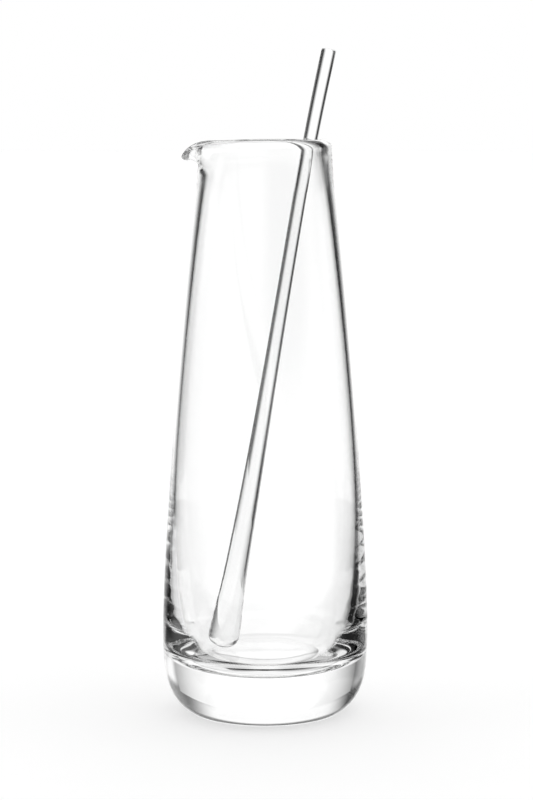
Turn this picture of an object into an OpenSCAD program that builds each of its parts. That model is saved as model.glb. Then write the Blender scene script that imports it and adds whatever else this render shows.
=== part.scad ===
// Cocktail pitcher of thick clear glass with a pulled pouring lip, and the glass rod that stirs it.
// The origin is the centre of the foot, +Z is up, and the lip points towards -X.

/* [Pitcher body] */
// Height of the pitcher, from the table to the top of the rim
pitcher_h = 280; // [270:1:300]
// Radius of the flat foot that stands on the table
foot_r = 37; // [33:0.5:42]
// Outer radius of the belly, the widest place
belly_r = 50.5; // [49.5:0.5:54]
// Height of the widest place
belly_z = 40; // [34:1:48]
// Outer radius at the bottom of the collar
collar_r = 33.7; // [33.4:0.1:35]
// Height of the collar, the top stretch that carries the rim and the lip
collar_h = 25; // [24:0.5:32]

/* [Pitcher cavity] */
// Thickness of the solid glass base at its centre
base_t = 22.6; // [18:0.2:27]
// Radius of the cavity where it is widest
cavity_r = 44.6; // [43:0.2:46]
// Height at which the cavity is widest
cavity_z = 92; // [80:1:110]
// Radius of the cavity at the bottom of the collar
throat_r = 29.9; // [29.4:0.1:30.4]

/* [Rim] */
// Outer radius of the rim
rim_r = 32.35; // [31.6:0.05:33.2]
// Radius of the rim's crown, its highest circle
crown_r = 27.9; // [27.4:0.1:29]
// Inner radius of the mouth
mouth_r = 27; // [26.4:0.1:27.3]
// Height of the rim's rounded outer shoulder
rim_round_h = 4.7; // [3.6:0.1:6]
// Height of the rim's rounded inner shoulder
rim_lead_h = 3.4; // [2.6:0.1:4.4]
// Height over which the wall thickens below the inner shoulder
rim_swell_h = 5.6; // [4.4:0.2:8]

/* [Pouring lip] */
// Length of wall, measured down from the rim, that is pulled out into the lip
lip_l = 14.4; // [12.4:0.1:15.4]
// Length of wall over which the lip bends
lip_bend_l = 11.3; // [9:0.1:12]
// Angle that the lip bends through, in degrees
lip_angle = 95; // [70:1:108]
// Half the width of the lip, as an angle round the mouth, in degrees
lip_spread = 18.5; // [16:0.5:30]
// Share of its thickness that the wall loses where it is pulled out
lip_thin_share = 0.32; // [0:0.02:0.5]
// Height of the rounding on the lip's end
lip_round_h = 3.2; // [2:0.1:4]
// Radius, before the pull, of the lip's end line
lip_crown_r = 29.3; // [28.5:0.1:30.3]
// How far the rim dips towards the lip
lip_dip = 1; // [0:0.05:2]
// Half the width of that dip, as an angle round the mouth, in degrees
dip_spread = 58; // [40:1:70]

/* [Stirring rod] */
// Length of the rod
rod_l = 304; // [290:1:330]
// Diameter of the rod's shaft where it is thinnest
rod_d = 6.7; // [5.8:0.1:7.4]
// Diameter of the rod at its upper end
rod_end_d = 7.2; // [6.6:0.1:7.8]
// Radius of the rounded edge of the upper end
rod_edge_r = 1.2; // [0.6:0.1:2.4]
// Diameter of the teardrop at the rod's lower end
drop_d = 16.2; // [13:0.2:17]
// Height of the teardrop's rounded bottom
drop_round_h = 7.4; // [6.4:0.1:8]
// Length of the teardrop's plump head
drop_head_l = 22; // [16:0.5:28]
// Length over which the teardrop tapers into the shaft
drop_taper_l = 216; // [180:2:230]
// Angle round the mouth at which the rod rests on the rim, in degrees from +X
lean_angle = 22.5; // [-20:0.5:50]
// Angle round the base at which the teardrop lies, in degrees from +X
drop_angle = 177; // [160:1:225]
// Distance of the teardrop from the pitcher's centre line
drop_place_r = 21.6; // [20:0.2:24]
// Clearance between the rod and the pitcher where it rests
rest_gap = 0.3; // [0.2:0.05:0.5]

/* [Hidden] */
$fn = 96;

// Where the guide points of the curves lie, as shares of the stretch that each curve spans
foot_curve_share = [0.92, 0.17, 0.505];
taper_shares = [0.19, 0.21];
bowl_shares = [0.86, 0.06];
neck_shares = [0.245, 0.221];
collar_shares = [0.16, 0.31];
swell_shares = [0.35, 0.25];
// How steeply the walls close in at the bottom of the collar, as sideways shares of the rise
outer_slope_share = 0.1245;
inner_slope_share = 0.148;
// Share of the teardrop's swelling that is its plump head, and how quickly the rest tapers
head_share = 0.27;
taper_power = 2.1;
// Share of the full pull at which the bend is already too weak to see
least_pull_share = 0.0001;
// Where on the inner shoulder the leaning rod rests, as a share of the shoulder's height
rest_share = 0.62;

// Steps along each stretch of the outline, and round the mouth
foot_steps = 14;
wall_steps = 18;
bowl_steps = 16;
collar_steps = 9;
round_steps = 6;
lead_steps = 4;
swell_steps = 5;
mouth_steps = 96;
drop_steps = 10;
shaft_steps = 26;
round_end_steps = 5;
// Above 1, this sets the steps of the shaft's taper closer together near the teardrop
shaft_step_power = 1.6;

// How far the collar reaches into the body below it, and how far its edges stand in and out there
join_h = 0.6;
join_inset = 0.3;
join_proud = 0.03;
// Length over which the pulled wall thins
lip_thin_l = 5;

collar_z = pitcher_h - collar_h;
lip_z = pitcher_h - lip_l;
swell_z = pitcher_h - rim_lead_h - rim_swell_h;
swell_r = throat_r - inner_slope_share * (swell_z - collar_z);
lip_mid_r = (rim_r + swell_r) / 2;
drop_r = drop_d / 2;
rod_r = rod_d / 2;
rod_end_r = rod_end_d / 2;

function mix(a, b, share) = a + (b - a) * share;

// Point at share t of a curve from a to d that is guided by b and c
function curve_point(a, b, c, d, t) =
    pow(1 - t, 3) * a + 3 * pow(1 - t, 2) * t * b + 3 * (1 - t) * t * t * c + pow(t, 3) * d;

// The points of that curve without its last one
function curve(a, b, c, d, steps) = [for (i = [0:steps - 1]) curve_point(a, b, c, d, i / steps)];

// Outside of the body, from the foot's edge to the collar, as [radius, height]
function body_outside() =
    let (rise = collar_z - belly_z)
    concat(
        curve([foot_r, 0],
              [mix(foot_r, belly_r, foot_curve_share[0]), belly_z * foot_curve_share[1]],
              [belly_r, belly_z * foot_curve_share[2]],
              [belly_r, belly_z], foot_steps),
        curve([belly_r, belly_z],
              [belly_r, belly_z + rise * taper_shares[0]],
              [collar_r + outer_slope_share * rise * taper_shares[1], collar_z - rise * taper_shares[1]],
              [collar_r, collar_z], wall_steps));

// Bowl of the cavity, from the centre of its floor to its widest place
function bowl_inside() =
    curve([0, base_t],
          [cavity_r * bowl_shares[0], base_t],
          [cavity_r, base_t - (cavity_z - base_t) * bowl_shares[1]],
          [cavity_r, cavity_z], bowl_steps);

// Neck of the cavity, from its widest place to the collar
function neck_inside() =
    let (rise = collar_z - cavity_z)
    curve([cavity_r, cavity_z],
          [cavity_r, cavity_z + rise * neck_shares[0]],
          [throat_r + inner_slope_share * rise * neck_shares[1], collar_z - rise * neck_shares[1]],
          [throat_r, collar_z], wall_steps);

// How much of the full lip there is at an angle round the mouth, measured from -X
function lip_share(angle) = exp(-pow(angle / lip_spread, 2));

// Outline of the collar before the pull, up its outside, over the crown and down its inside
function collar_outline(pull_share) =
    let (round_h = mix(rim_round_h, lip_round_h, pull_share),
         lead_h = mix(rim_lead_h, lip_round_h, pull_share),
         crown = mix(crown_r, lip_crown_r, pull_share),
         shoulder_z = pitcher_h - round_h,
         lead_z = pitcher_h - lead_h,
         rise = shoulder_z - collar_z,
         fall = lead_z - swell_z)
    concat(
        [[collar_r - join_inset, collar_z - join_h], [collar_r + join_proud, collar_z]],
        [for (i = [1:collar_steps - 1])
            curve_point([collar_r, collar_z],
                        [collar_r - outer_slope_share * rise * collar_shares[0],
                         collar_z + rise * collar_shares[0]],
                        [rim_r, shoulder_z - rise * collar_shares[1]],
                        [rim_r, shoulder_z], i / collar_steps)],
        [for (i = [0:round_steps - 1])
            let (a = 90 * i / round_steps)
            [mix(crown, rim_r, cos(a)), shoulder_z + round_h * sin(a)]],
        [for (i = [0:lead_steps - 1])
            let (a = 90 * i / lead_steps)
            [mix(crown, mouth_r, sin(a)), lead_z + lead_h * cos(a)]],
        curve([mouth_r, lead_z],
              [mouth_r, lead_z - fall * swell_shares[0]],
              [swell_r - inner_slope_share * fall * swell_shares[1], swell_z + fall * swell_shares[1]],
              [swell_r, swell_z], swell_steps),
        [[swell_r, swell_z], [throat_r - join_proud, collar_z], [throat_r + join_inset, collar_z - join_h]]);

// Bends a point of the outline outwards along an arc and thins the wall there, which pulls the lip
function pulled(point, angle) =
    let (pull_share = max(lip_share(angle), least_pull_share),
         s = max(point.y - lip_z, 0),
         bent = min(s, lip_bend_l),
         bend_r = lip_bend_l / (lip_angle * pull_share * PI / 180),
         turn = lip_angle * pull_share * bent / lip_bend_l,
         offset = (point.x - lip_mid_r) * (1 - lip_thin_share * pull_share * min(s / lip_thin_l, 1)),
         dip = lip_dip * exp(-pow(angle / dip_spread, 2)) * pow(max(point.y - collar_z, 0) / collar_h, 2))
    s > 0
        ? [lip_mid_r + bend_r * (1 - cos(turn)) + (s - bent) * sin(turn) + offset * cos(turn),
           lip_z + bend_r * sin(turn) + (s - bent) * cos(turn) - offset * sin(turn) - dip]
        : [point.x, point.y - dip];

// Points of the collar, one closed outline after another round the mouth
function collar_points() =
    [for (k = [0:mouth_steps - 1])
        let (turn = 360 * k / mouth_steps,
             angle = turn > 180 ? turn - 360 : turn,
             outline = collar_outline(lip_share(angle)))
        for (point = outline)
            let (p = pulled(point, angle))
            [-p.x * cos(angle), -p.x * sin(angle), p.y]];

// Triangles between neighbouring outlines, each of count points
function collar_faces(count) =
    [for (k = [0:mouth_steps - 1])
        let (here = k * count, there = (k + 1) % mouth_steps * count)
        for (i = [0:count - 1])
            let (next = (i + 1) % count)
            each [[here + i, here + next, there + next], [here + i, there + next, there + i]]];

// The collar with its rim and lip, lofted round the mouth
module collar() {
    polyhedron(points = collar_points(), faces = collar_faces(len(collar_outline(0))), convexity = 6);
}

// The revolved body with its thick base and its cavity
module vessel() {
    rotate_extrude()
        polygon(concat(
            [[0, 0]],
            body_outside(),
            [[collar_r, collar_z], [throat_r, collar_z]],
            [for (i = [1:wall_steps - 1]) neck_inside()[wall_steps - i]],
            [[cavity_r, cavity_z]],
            [for (i = [1:bowl_steps]) bowl_inside()[bowl_steps - i]]));
}

module pitcher() {
    color("aliceblue", 0.35)
    union() {
        vessel();
        collar();
    }
}

// Radius of the rod at a distance from its lowest point, above the rounded bottom
function rod_radius(s) =
    let (t = (s - drop_round_h) / drop_taper_l,
         head = head_share * exp(-pow((s - drop_round_h) / drop_head_l, 2)),
         tail = t < 1 ? (1 - head_share) * pow(1 - t, taper_power) : 0,
         upper_l = rod_l - drop_round_h - drop_taper_l,
         shaft_r = mix(rod_r, rod_end_r, max(0, t - 1) * drop_taper_l / upper_l))
    shaft_r + (drop_r - rod_r) * (head + tail);

// Height of the teardrop's centre when it lies on the bowl with the clearance between them
function drop_rest_z(r) =
    let (reach = drop_r + rest_gap)
    max([for (p = bowl_inside()) if (abs(p.x - r) < reach) p.y + sqrt(reach * reach - pow(p.x - r, 2))]);

function around(r, direction, z) = [r * cos(direction), r * sin(direction), z];

drop_at = around(drop_place_r, drop_angle, drop_rest_z(drop_place_r));
rest_z = pitcher_h - rim_lead_h * (1 - rest_share);
rest_r = mix(crown_r, mouth_r, sqrt(1 - rest_share * rest_share));
upright_lean = atan2(norm(around(rest_r - rod_end_r, lean_angle, 0)
                          - around(drop_place_r, drop_angle, 0)), rest_z - drop_at.z);
rod_rest_r = rest_r - rest_gap - rod_end_r / cos(upright_lean);
rest_at = around(rod_rest_r, lean_angle, rest_z);
rod_way = rest_at - drop_at;
rod_lean = atan2(norm([rod_way.x, rod_way.y]), rod_way.z);
rod_turn = atan2(rod_way.y, rod_way.x);

// Outline of the rod, from its lowest point to the middle of its flat upper end
function rod_outline() =
    concat(
        [for (i = [0:drop_steps - 1])
            let (a = 90 * i / drop_steps)
            [drop_r * sin(a), drop_round_h * (1 - cos(a))]],
        [for (i = [0:shaft_steps])
            let (s = drop_round_h + drop_taper_l * pow(i / shaft_steps, shaft_step_power))
            [rod_radius(s), s]],
        [for (i = [0:round_end_steps])
            let (a = 90 * i / round_end_steps)
            [rod_end_r - rod_edge_r * (1 - cos(a)), rod_l - rod_edge_r * (1 - sin(a))]],
        [[0, rod_l]]);

module stirring_rod() {
    color("lightcyan", 0.35)
    translate(drop_at)
        rotate([0, rod_lean, rod_turn])
            translate([0, 0, -drop_round_h])
                rotate_extrude()
                    polygon(rod_outline());
}

pitcher();
stirring_rod();
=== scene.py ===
import math

import bpy
import numpy as np
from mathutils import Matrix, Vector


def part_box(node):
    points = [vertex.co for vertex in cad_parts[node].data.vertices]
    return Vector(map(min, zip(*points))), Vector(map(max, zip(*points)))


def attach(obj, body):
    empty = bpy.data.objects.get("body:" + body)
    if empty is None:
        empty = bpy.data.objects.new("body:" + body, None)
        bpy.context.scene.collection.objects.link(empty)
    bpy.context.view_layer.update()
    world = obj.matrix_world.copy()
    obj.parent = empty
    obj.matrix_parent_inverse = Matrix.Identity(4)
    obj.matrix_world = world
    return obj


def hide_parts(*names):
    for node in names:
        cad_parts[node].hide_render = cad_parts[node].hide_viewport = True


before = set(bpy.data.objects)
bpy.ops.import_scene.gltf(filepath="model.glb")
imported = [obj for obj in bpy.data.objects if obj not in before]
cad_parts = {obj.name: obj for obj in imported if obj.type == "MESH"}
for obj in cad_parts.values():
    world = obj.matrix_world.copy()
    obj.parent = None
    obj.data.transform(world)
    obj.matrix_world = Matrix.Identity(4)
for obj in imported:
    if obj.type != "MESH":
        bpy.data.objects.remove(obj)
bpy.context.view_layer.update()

MM = 0.001

# The pitcher's sizes, in millimetres, as its solid has them
PITCHER_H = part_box("pitcher")[1].z / MM
BELLY_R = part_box("pitcher")[1].y / MM
BELLY_Z = 40.0
FOOT_R = 37.0
FOOT_EDGE = 0.7
COLLAR_R = 33.7
COLLAR_Z = PITCHER_H - 25.0
BASE_T = 22.6
CAVITY_R = 44.6
CAVITY_Z = 92.0
THROAT_R = 29.9
RIM_R = 32.35
CROWN_R = 27.9
MOUTH_R = 27.0
RIM_ROUND_H = 4.7
RIM_LEAD_H = 3.4
SWELL_Z = PITCHER_H - RIM_LEAD_H - 5.6
OUTER_SLOPE = 0.1245
INNER_SLOPE = 0.148
SWELL_R = THROAT_R - INNER_SLOPE * (SWELL_Z - COLLAR_Z)

# Where the guide points of the curves lie, as shares of the stretch that each curve spans
FOOT_EDGE_SHARE = 0.3
FOOT_CURVE_SHARES = (0.92, 0.17, 0.505)
TAPER_SHARES = (0.19, 0.21)
NECK_SHARES = (0.245, 0.221)
BOWL_SHARES = (0.86, 0.06)
COLLAR_SHARES = (0.16, 0.31)
SWELL_SHARES = (0.35, 0.25)

# The pouring lip: lengths in millimetres, angles in degrees
LIP_Z = PITCHER_H - 14.4
LIP_BEND_L = 11.3
LIP_ANGLE = 95.0
LIP_SPREAD = 18.5
LIP_THIN_SHARE = 0.32
LIP_THIN_L = 5.0
LIP_ROUND_H = 3.2
LIP_CROWN_R = 29.3
LIP_MID_R = (RIM_R + SWELL_R) / 2
LIP_DIP = 1.0
DIP_SPREAD = 58.0
# Share of the full pull at which the bend is already too weak to see
LEAST_PULL = 0.0001

# The stirring rod, in millimetres
ROD_L = 304.0
ROD_R = 3.35
ROD_END_R = 3.6
ROD_EDGE_R = 1.2
DROP_R = 8.1
DROP_ROUND_H = 7.4
DROP_HEAD_L = 22.0
DROP_TAPER_L = 216.0
DROP_TOP = DROP_ROUND_H + DROP_TAPER_L
HEAD_SHARE = 0.27
TAPER_POWER = 2.1
DROP_AT = np.array([-21.570, 1.131, 31.355])
REST_AT = np.array([21.468, 8.893, 278.71])
# The drawn rod isn't quite straight: it bows above the teardrop, and its upper end bends sideways
ROD_BOW_L = 230.0
ROD_BOW = 0.8
ROD_BEND_L = 68.0
ROD_BEND = 1.6
# Brings the highest value of the bow's curve, t (1 - t)^2, to 1
BOW_SCALE = 27 / 4

# Slight waves that the mould left on the inner wall, in millimetres, between a lower and an upper height,
# with the lengths over which they set in and die away, and the heights of one slow and one quick wave
WAVE = 0.012
WAVE_LOW = 26.0
WAVE_HIGH = 150.0
WAVE_FADES = (10.0, 60.0)
WAVE_STEPS = (7.3, 11.9)
QUICK_SHARE = 0.6

# How finely the meshes are divided
ROUND_STEPS = 240
FOOT_STEPS = 8
EDGE_STEPS = 6
CORNER_STEPS = 48
TAPER_STEPS = 90
NECK_STEPS = 80
BOWL_STEPS = 90
COLLAR_STEPS = 24
CROWN_STEPS = 16
LEAD_STEPS = 12
SWELL_STEPS = 16
THROAT_STEPS = 4
ROD_ROUND_STEPS = 96
DROP_STEPS = 24
SHAFT_STEPS = 90
UPPER_STEPS = 12
ROD_EDGE_STEPS = 10
CARD_STEPS = 30

# Clear soda-lime glass: how strongly it bends light, and the two tones between which its melt varies
GLASS_IOR = 1.52
GLASS_TONES = ((1.0, 1.0, 1.0, 1.0), (0.994, 0.996, 0.995, 1.0))
MELT_SCALE = 22.0
# How much of the lamp's light goes through the glass to the floor
SHADOW_CLEAR = (0.93, 0.93, 0.93, 1.0)
# Where the glass was handled: the pattern's scale and detail, and the part of it that has lost some polish
TOUCH_SCALE = 38.0
TOUCH_DETAIL = 4.0
TOUCH_RANGE = (0.5, 0.8)
# The marks of making, from the mould on the pitcher and from the drawing on the rod: how far they are drawn
# out along the height, their width and depth in metres, and how rough the handled glass gets
PITCHER_MARKS = {"stretch": 1.5, "width": 0.012, "depth": 0.000002, "haze": 0.002}
ROD_MARKS = {"stretch": 30.0, "width": 0.003, "depth": 0.000001, "haze": 0.002}
MARK_DETAIL = 2.0

# The studio round the object, as soft panels: azimuth from +Y towards +X, the half widths at which a panel
# is full and gone, its lowest and highest elevation, all in degrees, and its level
PANELS = [
    # The backdrop: its middle, its upper part, and the table in front of it
    (-2.5, 13, 36, -34, 13, 1.12),
    (-4, 23, 50, 13, 26, 1.12),
    (0, 12, 60, -80, -34, 0.98),
    # The table round the sides and the front
    (-161, 96, 103, -60, -19, 0.96),
    # Overhead, and high up on the right and the left
    (20, 120, 135, 40, 89, 0.65),
    (87, 13, 20, 22, 43, 0.85),
    (-100, 12, 18, 28, 48, 1.1),
    # Level with the glass, on the left, on the right and behind the camera's right
    (-84, 8, 44, -22, 12, 0.93),
    (68, 8, 21, -7, 10, 1.05),
    (135, 30, 60, -24, 4, 0.93),
    # The table at the back left
    (-47, 16, 28, -58, -14, 0.95),
]
# How softly the panels end above and below, in degrees, and the level between them
PANEL_SOFT = 3
STUDIO_DARK = 0.015

# How light the floor's paper is, how much its fibres vary, and how much it glows for the camera
FLOOR_HALF = 20.0
FLOOR_Z = -0.0001
FLOOR_WHITE = 0.40
FIBRE_TONE = 0.01
FIBRE_SCALE = 900.0
FIBRE_DETAIL = 3.0
FLOOR_ROUGHNESS = 0.9
FLOOR_GLOW = 0.62

# A low white card behind the pitcher, seen only in the glass. It lies from the near to the far radius, at
# the lying height, and then stands up to its height. Lengths in metres
CARD_NEAR_R = 0.056
CARD_R = 0.22
CARD_LYING_Z = 0.0005
CARD_H = 0.060
# Half of the angle that it spans, and the angles at which the standing part is brightest and would be dark
CARD_HALF = 40.5
CARD_FULL = 10.0
CARD_GONE = 58.0
CARD_LEVEL = 1.12
# The lying part's level, and the heights between which it gives way to the standing part's
CARD_LYING_LEVEL = 1.0
CARD_FOLD = (0.001, 0.002)
# How far the standing part is turned away when it takes the tone of the paper round it
CARD_SLANT = (0.088, 0.095)

# How far in front of the pitcher and how high the camera stands, in metres, and how far it looks down
CAMERA_D = 1.146
CAMERA_H = 0.290
CAMERA_PITCH = 6.79
# The photograph's size, its focal length and the place of the pitcher's centre line, in its pixels
FRAME_W = 533
FRAME_H = 800
FOCAL_PX = 2364.0
AXIS_PX = 265.3
SENSOR_H = 24.0

# How often light may pass from one medium to the next: the thick base catches it many times over
BOUNCES = 96


def mix(a, b, share):
    return a + (b - a) * share


def curve(a, b, c, d, steps):
    """Points of a cubic curve from a to d guided by b and c, without the last one."""
    t = np.linspace(0, 1, steps, endpoint=False)[:, None]
    a, b, c, d = (np.array(p, float) for p in (a, b, c, d))
    return (1 - t) ** 3 * a + 3 * (1 - t) ** 2 * t * b + 3 * (1 - t) * t * t * c + t**3 * d


def quarter(steps, whole=False):
    """Angles of a quarter turn, with or without the last one."""
    return np.linspace(0, math.pi / 2, steps, endpoint=whole)


def body_outside():
    """Outside of the body from the foot's centre to the collar, as radius and height."""
    rise = COLLAR_Z - BELLY_Z
    out, up, top = FOOT_CURVE_SHARES
    corner = curve(
        (FOOT_R, 0),
        (mix(FOOT_R, BELLY_R, out), BELLY_Z * up),
        (BELLY_R, BELLY_Z * top),
        (BELLY_R, BELLY_Z),
        CORNER_STEPS,
    )
    low, high = TAPER_SHARES
    taper = curve(
        (BELLY_R, BELLY_Z),
        (BELLY_R, BELLY_Z + rise * low),
        (COLLAR_R + OUTER_SLOPE * rise * high, COLLAR_Z - rise * high),
        (COLLAR_R, COLLAR_Z),
        TAPER_STEPS,
    )
    flat = [(r, 0.0) for r in np.linspace(0, FOOT_R - 2 * FOOT_EDGE, FOOT_STEPS)]
    rounded = curve(
        (FOOT_R - FOOT_EDGE, 0),
        (FOOT_R - FOOT_EDGE * FOOT_EDGE_SHARE, 0),
        (corner[0] + corner[1]) / 2,
        corner[1],
        EDGE_STEPS,
    )
    return np.vstack([flat, rounded, corner[1:], taper])


def cavity_outline():
    """Wall of the cavity from the collar down to the centre of its floor."""
    rise = COLLAR_Z - CAVITY_Z
    low, high = NECK_SHARES
    neck = curve(
        (CAVITY_R, CAVITY_Z),
        (CAVITY_R, CAVITY_Z + rise * low),
        (THROAT_R + INNER_SLOPE * rise * high, COLLAR_Z - rise * high),
        (THROAT_R, COLLAR_Z),
        NECK_STEPS,
    )
    out, down = BOWL_SHARES
    bowl = curve(
        (0, BASE_T),
        (CAVITY_R * out, BASE_T),
        (CAVITY_R, BASE_T - (CAVITY_Z - BASE_T) * down),
        (CAVITY_R, CAVITY_Z),
        BOWL_STEPS,
    )
    return np.vstack([[(THROAT_R, COLLAR_Z)], neck[::-1], bowl[::-1]])


def collar_outline(pull):
    """Outline of the collar before the pull, up its outside, over the crown and down its inside."""
    round_h = mix(RIM_ROUND_H, LIP_ROUND_H, pull)
    lead_h = mix(RIM_LEAD_H, LIP_ROUND_H, pull)
    crown = mix(CROWN_R, LIP_CROWN_R, pull)
    shoulder_z = PITCHER_H - round_h
    lead_z = PITCHER_H - lead_h
    rise = shoulder_z - COLLAR_Z
    fall = lead_z - SWELL_Z
    low, high = COLLAR_SHARES
    wall = curve(
        (COLLAR_R, COLLAR_Z),
        (COLLAR_R - OUTER_SLOPE * rise * low, COLLAR_Z + rise * low),
        (RIM_R, shoulder_z - rise * high),
        (RIM_R, shoulder_z),
        COLLAR_STEPS,
    )
    a = quarter(CROWN_STEPS)
    shoulder = np.c_[mix(crown, RIM_R, np.cos(a)), shoulder_z + round_h * np.sin(a)]
    a = quarter(LEAD_STEPS)
    lead = np.c_[mix(crown, MOUTH_R, np.sin(a)), lead_z + lead_h * np.cos(a)]
    down, up = SWELL_SHARES
    swell = curve(
        (MOUTH_R, lead_z),
        (MOUTH_R, lead_z - fall * down),
        (SWELL_R - INNER_SLOPE * fall * up, SWELL_Z + fall * up),
        (SWELL_R, SWELL_Z),
        SWELL_STEPS,
    )
    shares = np.arange(THROAT_STEPS) / THROAT_STEPS
    throat = [(mix(SWELL_R, THROAT_R, t), mix(SWELL_Z, COLLAR_Z, t)) for t in shares]
    return np.vstack([wall, shoulder, lead, swell, throat])


def pulled(outline, angle, pull):
    """Bends the collar's outline outwards along an arc and thins it there, which pulls the lip."""
    r, z = outline.T
    pull = max(pull, LEAST_PULL)
    s = np.maximum(z - LIP_Z, 0)
    bent = np.minimum(s, LIP_BEND_L)
    bend = math.radians(LIP_ANGLE) * pull
    bend_r = LIP_BEND_L / bend
    turn = bend * bent / LIP_BEND_L
    offset = (r - LIP_MID_R) * (1 - LIP_THIN_SHARE * pull * np.minimum(s / LIP_THIN_L, 1))
    height = np.maximum(z - COLLAR_Z, 0) / (PITCHER_H - COLLAR_Z)
    dip = LIP_DIP * math.exp(-((angle / DIP_SPREAD) ** 2)) * height**2
    out_r = LIP_MID_R + bend_r * (1 - np.cos(turn)) + (s - bent) * np.sin(turn) + offset * np.cos(turn)
    out_z = LIP_Z + bend_r * np.sin(turn) + (s - bent) * np.cos(turn) - offset * np.sin(turn)
    return np.c_[np.where(s > 0, out_r, r), np.where(s > 0, out_z, z) - dip]


def placed(name, points, faces):
    """A new mesh object in the scene."""
    mesh = bpy.data.meshes.new(name)
    mesh.from_pydata(points, [], faces)
    mesh.update()
    piece = bpy.data.objects.new(name, mesh)
    bpy.context.scene.collection.objects.link(piece)
    return piece


def lofted(name, rings):
    """A closed smooth mesh through rings of points; the first and the last ring are single points."""
    points = []
    starts = []
    for ring in rings:
        starts.append(len(points))
        points.extend(ring)
    faces = []
    for k in range(len(rings) - 1):
        low, high = rings[k], rings[k + 1]
        count = max(len(low), len(high))
        for j in range(count):
            n = (j + 1) % count
            a, b = starts[k], starts[k + 1]
            if len(low) == 1:
                faces.append((a, b + n, b + j))
            elif len(high) == 1:
                faces.append((a + j, a + n, b))
            else:
                faces.append((a + j, a + n, b + n, b + j))
    piece = placed(name, [tuple(np.array(p) * MM) for p in points], faces)
    piece.data.polygons.foreach_set("use_smooth", [True] * len(faces))
    piece.data.update()
    return piece


def waves(z, a):
    """How far the inner wall stands out at height z and direction a, all the way round without a seam."""
    set_in = np.clip((z - WAVE_LOW) / WAVE_FADES[0], 0, 1)
    die_away = np.clip((WAVE_HIGH - z) / WAVE_FADES[1], 0, 1)
    # Each wave wanders up and down on its way round
    slow_turn = 2.2 * math.sin(a + 1) + 1.3 * math.sin(3 * a)
    quick_turn = 1.7 * math.sin(2 * a + 2) + 0.8 * math.sin(5 * a)
    slow = np.sin(2 * math.pi * z / WAVE_STEPS[0] + slow_turn)
    quick = np.sin(2 * math.pi * z / WAVE_STEPS[1] + quick_turn)
    return WAVE * set_in * die_away * (slow + QUICK_SHARE * quick)


def make_pitcher():
    """The whole pitcher as one skin: its outline is pulled and waved for each direction, then joined up."""
    outside = body_outside()
    cavity = cavity_outline()
    columns = []
    for k in range(ROUND_STEPS):
        turn = 360.0 * k / ROUND_STEPS
        angle = turn - 360 if turn > 180 else turn
        pull = math.exp(-((angle / LIP_SPREAD) ** 2))
        a = math.radians(turn)
        wavy = cavity + np.c_[waves(cavity[:, 1], a), np.zeros(len(cavity))]
        wavy[-1] = cavity[-1]
        outline = np.vstack([outside, pulled(collar_outline(pull), angle, pull), wavy])
        columns.append(np.c_[-outline[:, 0] * math.cos(a), -outline[:, 0] * math.sin(a), outline[:, 1]])
    grid = np.array(columns)
    rings = [[tuple(grid[0, 0])]]
    rings += [[tuple(p) for p in grid[:, i]] for i in range(1, grid.shape[1] - 1)]
    rings.append([tuple(grid[0, -1])])
    return lofted("glass_pitcher", rings)


def rod_radius(s):
    t = (s - DROP_ROUND_H) / DROP_TAPER_L
    head = HEAD_SHARE * math.exp(-(((s - DROP_ROUND_H) / DROP_HEAD_L) ** 2))
    tail = (1 - HEAD_SHARE) * (1 - t) ** TAPER_POWER if t < 1 else 0
    upper = max(0.0, t - 1) * DROP_TAPER_L / (ROD_L - DROP_TOP)
    return mix(ROD_R, ROD_END_R, upper) + (DROP_R - ROD_R) * (head + tail)


def rod_outline():
    """Outline of the rod, from its lowest point to the middle of its flat upper end."""
    a = quarter(DROP_STEPS)
    bottom = np.c_[DROP_R * np.sin(a), DROP_ROUND_H * (1 - np.cos(a))]
    taper = DROP_ROUND_H + DROP_TAPER_L * np.linspace(0, 1, SHAFT_STEPS) ** TAPER_POWER
    upper = np.linspace(DROP_TOP, ROD_L - ROD_EDGE_R, UPPER_STEPS)[1:-1]
    shaft = [(rod_radius(s), s) for s in np.concatenate([taper, upper])]
    a = quarter(ROD_EDGE_STEPS, whole=True)
    edge = np.c_[ROD_END_R - ROD_EDGE_R * (1 - np.cos(a)), ROD_L - ROD_EDGE_R * (1 - np.sin(a))]
    return np.vstack([bottom, shaft, edge, [(0, ROD_L)]])


def make_rod():
    """The leaning rod, with the bow and the bend that the drawing gave it."""
    way = REST_AT - DROP_AT
    way /= np.linalg.norm(way)
    across = np.cross(way, (0, 0, 1))
    across /= np.linalg.norm(across)
    other = np.cross(across, way)
    a = np.linspace(0, 2 * math.pi, ROD_ROUND_STEPS, endpoint=False)
    rings = []
    outline = rod_outline()
    for k, (r, s) in enumerate(outline):
        t = min(s / ROD_BOW_L, 1.0)
        bow = ROD_BOW * BOW_SCALE * t * (1 - t) ** 2
        bend = ROD_BEND * (max(0.0, s - ROD_L + ROD_BEND_L) / ROD_BEND_L) ** 2
        centre = DROP_AT + way * (s - DROP_ROUND_H) + np.array((bow + bend, 0, 0))
        if k in (0, len(outline) - 1):
            rings.append([tuple(centre)])
        else:
            rings.append([tuple(centre + r * (math.cos(x) * other + math.sin(x) * across)) for x in a])
    return lofted("glass_stirring_rod", rings)


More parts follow.
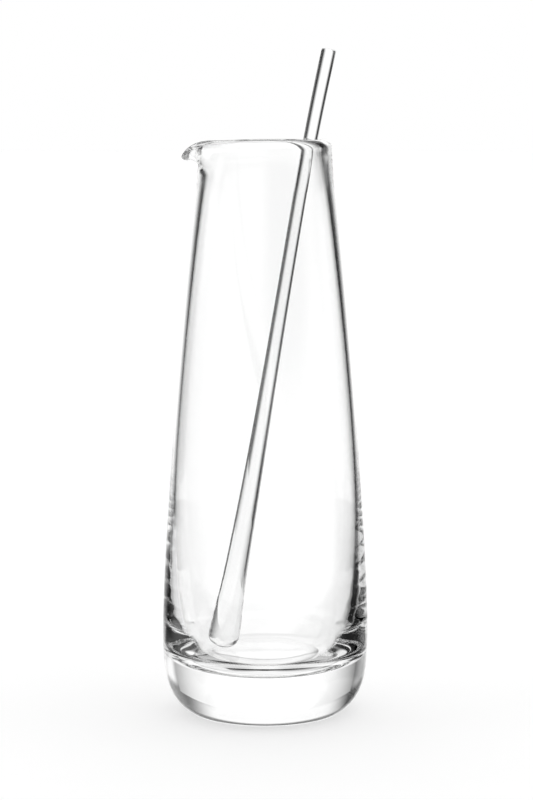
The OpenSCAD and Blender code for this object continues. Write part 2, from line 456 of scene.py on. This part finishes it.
class Graph:
    """A node tree, with short ways to add nodes. A value may be a number or another node's output."""

    def __init__(self, owner):
        owner.use_nodes = True
        self.nodes = owner.node_tree.nodes
        self.links = owner.node_tree.links

    def feed(self, node, inputs):
        for name, value in inputs.items():
            if isinstance(value, bpy.types.NodeSocket):
                self.links.new(value, node.inputs[name])
            else:
                node.inputs[name].default_value = value

    def add(self, kind, inputs=None):
        node = self.nodes.new(kind)
        self.feed(node, inputs or {})
        return node

    def math(self, operation, *values):
        node = self.nodes.new("ShaderNodeMath")
        node.operation = operation
        self.feed(node, dict(enumerate(values)))
        return node.outputs[0]

    def remap(self, value, source, target, smooth=False):
        node = self.nodes.new("ShaderNodeMapRange")
        if smooth:
            node.interpolation_type = "SMOOTHSTEP"
        self.feed(node, {"Value": value, "From Min": source[0], "From Max": source[1]})
        self.feed(node, {"To Min": target[0], "To Max": target[1]})
        return node.outputs[0]

    def fade(self, value, full, gone, level=1):
        """Falls smoothly from the level to 0 between two angles in degrees."""
        return self.remap(value, (math.radians(full), math.radians(gone)), (level, 0), smooth=True)

    def noise(self, place, scale, detail):
        return self.add("ShaderNodeTexNoise", {"Vector": place, "Scale": scale, "Detail": detail}).outputs[0]

    def place(self, kind):
        return self.nodes.new("ShaderNodeTexCoord").outputs[kind]

    def ray(self, kind):
        return self.nodes.new("ShaderNodeLightPath").outputs[kind]


def glass(name, stretch, width, depth, haze):
    """Clear glass with the faint marks of its making; most of the lamp's light passes on to the floor."""
    material = bpy.data.materials.new(name)
    graph = Graph(material)
    place = graph.place("Object")
    drawn_out = graph.add("ShaderNodeMapping", {"Vector": place, "Scale": (1.0, 1.0, 1.0 / stretch)})
    marks = graph.noise(drawn_out.outputs["Vector"], 1.0 / width, MARK_DETAIL)
    bump = graph.add("ShaderNodeBump", {"Distance": depth, "Height": marks})
    touched = graph.noise(place, TOUCH_SCALE, TOUCH_DETAIL)
    melt = graph.noise(place, MELT_SCALE, MARK_DETAIL)
    tone = graph.add("ShaderNodeMix")
    tone.data_type = "RGBA"
    graph.feed(tone, {"Factor": melt, "A": GLASS_TONES[0], "B": GLASS_TONES[1]})
    shader = graph.nodes["Principled BSDF"]
    graph.feed(shader, {
        "Base Color": tone.outputs["Result"],
        "Roughness": graph.remap(touched, TOUCH_RANGE, (0, haze)),
        "Normal": bump.outputs[0],
        "IOR": GLASS_IOR,
        "Transmission Weight": 1.0,
    })
    clear = graph.add("ShaderNodeBsdfTransparent", {"Color": SHADOW_CLEAR})
    shadow = graph.ray("Is Shadow Ray")
    either = graph.add("ShaderNodeMixShader", {0: shadow, 1: shader.outputs[0], 2: clear.outputs[0]})
    graph.feed(graph.nodes["Material Output"], {"Surface": either.outputs[0]})
    return material


def make_world():
    """The camera sees plain white; the glass sees the soft panels, with the dark studio between them."""
    world = bpy.data.worlds.new("studio")
    bpy.context.scene.world = world
    graph = Graph(world)
    graph.nodes.clear()
    direction = graph.add("ShaderNodeSeparateXYZ", {0: graph.place("Generated")})
    azimuth = graph.math("ARCTAN2", direction.outputs["X"], direction.outputs["Y"])
    elevation = graph.math("ARCSINE", direction.outputs["Z"])
    studio = STUDIO_DARK
    for centre, full, gone, low, high, level in PANELS:
        from_centre = graph.math("SUBTRACT", azimuth, math.radians(centre))
        turned = graph.math("WRAP", from_centre, math.pi, -math.pi)
        side = graph.fade(graph.math("ABSOLUTE", turned), full, gone)
        below = graph.fade(elevation, low + PANEL_SOFT, low - PANEL_SOFT)
        above = graph.fade(elevation, high - PANEL_SOFT, high + PANEL_SOFT)
        height = graph.math("MULTIPLY", below, above)
        panel = graph.math("MULTIPLY", graph.math("MULTIPLY", side, level), height)
        studio = graph.math("MAXIMUM", panel, studio)
    camera = graph.ray("Is Camera Ray")
    others = graph.math("MULTIPLY", studio, graph.math("SUBTRACT", 1.0, camera))
    background = graph.add("ShaderNodeBackground", {"Color": graph.math("MAXIMUM", others, camera)})
    graph.add("ShaderNodeOutputWorld", {0: background.outputs[0]})


def make_floor():
    """White paper, as bright as the backdrop, that only darkens under and beside the glass."""
    half = FLOOR_HALF
    corners = [(-half, -half, 0), (half, -half, 0), (half, half, 0), (-half, half, 0)]
    floor = placed("floor", corners, [(0, 1, 2, 3)])
    floor.location.z = FLOOR_Z
    material = bpy.data.materials.new("floor_paper")
    graph = Graph(material)
    fibres = graph.noise(graph.place("Object"), FIBRE_SCALE, FIBRE_DETAIL)
    graph.feed(graph.nodes["Principled BSDF"], {
        "Base Color": graph.remap(fibres, (0, 1), (FLOOR_WHITE - FIBRE_TONE, FLOOR_WHITE + FIBRE_TONE)),
        "Roughness": FLOOR_ROUGHNESS,
        "Specular IOR Level": 0.0,
        "Emission Color": (1, 1, 1, 1),
        "Emission Strength": graph.math("MULTIPLY", graph.ray("Is Camera Ray"), FLOOR_GLOW),
    })
    floor.data.materials.append(material)
    floor.visible_transmission = False
    floor.visible_glossy = False


def make_card():
    """The low card behind the pitcher, which brightens the thick base."""
    outline = [(CARD_NEAR_R, CARD_LYING_Z), (CARD_R, CARD_LYING_Z), (CARD_R, CARD_H)]
    points = []
    faces = []
    for k in range(CARD_STEPS + 1):
        a = math.radians(mix(-CARD_HALF, CARD_HALF, k / CARD_STEPS))
        points += [(r * math.sin(a), r * math.cos(a), z) for r, z in outline]
        if k:
            faces += [(3 * k - 3 + j, 3 * k + j, 3 * k + 1 + j, 3 * k - 2 + j) for j in (0, 1)]
    card = placed("back_card", points, faces)
    material = bpy.data.materials.new("card_paper")
    graph = Graph(material)
    graph.nodes.clear()
    place = graph.add("ShaderNodeSeparateXYZ", {0: graph.place("Object")})
    turn = graph.math("ARCTAN2", place.outputs["X"], place.outputs["Y"])
    standing = graph.fade(graph.math("ABSOLUTE", turn), CARD_FULL, CARD_GONE, CARD_LEVEL)
    lying = graph.remap(place.outputs["Z"], CARD_FOLD, (CARD_LYING_LEVEL, 0))
    level = graph.math("MAXIMUM", standing, lying)
    # Seen at a slant, from above or from far round the side, it has the tone of the paper round it
    facing = graph.add("ShaderNodeLayerWeight").outputs["Facing"]
    slant = graph.remap(facing, CARD_SLANT, (0, 1))
    paper = graph.math("MAXIMUM", level, CARD_LYING_LEVEL)
    tone = graph.add("ShaderNodeMix", {"Factor": slant, "A": level, "B": paper})
    glow = graph.add("ShaderNodeEmission", {"Strength": tone.outputs["Result"]})
    graph.add("ShaderNodeOutputMaterial", {"Surface": glow.outputs[0]})
    card.data.materials.append(material)
    card.visible_camera = False
    card.visible_shadow = False
    card.visible_diffuse = False


def make_sun(name, strength, width, azimuth, elevation):
    """A wide soft lamp far away, azimuth from +Y towards +X, which lights the paper evenly."""
    data = bpy.data.lights.new(name, "SUN")
    data.energy = strength
    data.angle = math.radians(width)
    lamp = bpy.data.objects.new(name, data)
    lamp.rotation_euler = (math.radians(90 - elevation), 0, math.radians(180 - azimuth))
    lamp.visible_glossy = False
    lamp.visible_transmission = False
    bpy.context.scene.collection.objects.link(lamp)


def make_camera():
    """The photograph's view, from the height of the rim and looking slightly down."""
    data = bpy.data.cameras.new("camera")
    data.sensor_fit = "VERTICAL"
    data.sensor_height = SENSOR_H
    data.lens = FOCAL_PX / FRAME_H * SENSOR_H
    data.shift_x = (FRAME_W / 2 - AXIS_PX) / FRAME_H
    data.clip_start = 0.05
    camera = bpy.data.objects.new("camera", data)
    camera.location = (0, -CAMERA_D, CAMERA_H)
    camera.rotation_euler = (math.radians(90 - CAMERA_PITCH), 0, 0)
    bpy.context.scene.collection.objects.link(camera)
    bpy.context.scene.camera = camera


pitcher = make_pitcher()
rod = make_rod()
pitcher.data.materials.append(glass("pitcher_glass_clear", **PITCHER_MARKS))
rod.data.materials.append(glass("rod_glass_clear", **ROD_MARKS))
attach(pitcher, "pitcher")
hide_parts("pitcher")
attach(rod, "rod")
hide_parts("stirring_rod")

make_world()
make_floor()
make_card()
make_sun("overhead_lamp", strength=2.0, width=100, azimuth=0, elevation=80)
make_camera()
scene = bpy.context.scene
scene.view_settings.view_transform = "Standard"
scene.cycles.max_bounces = BOUNCES
scene.cycles.transmission_bounces = BOUNCES
scene.cycles.glossy_bounces = BOUNCES
scene.cycles.transparent_max_bounces = BOUNCES
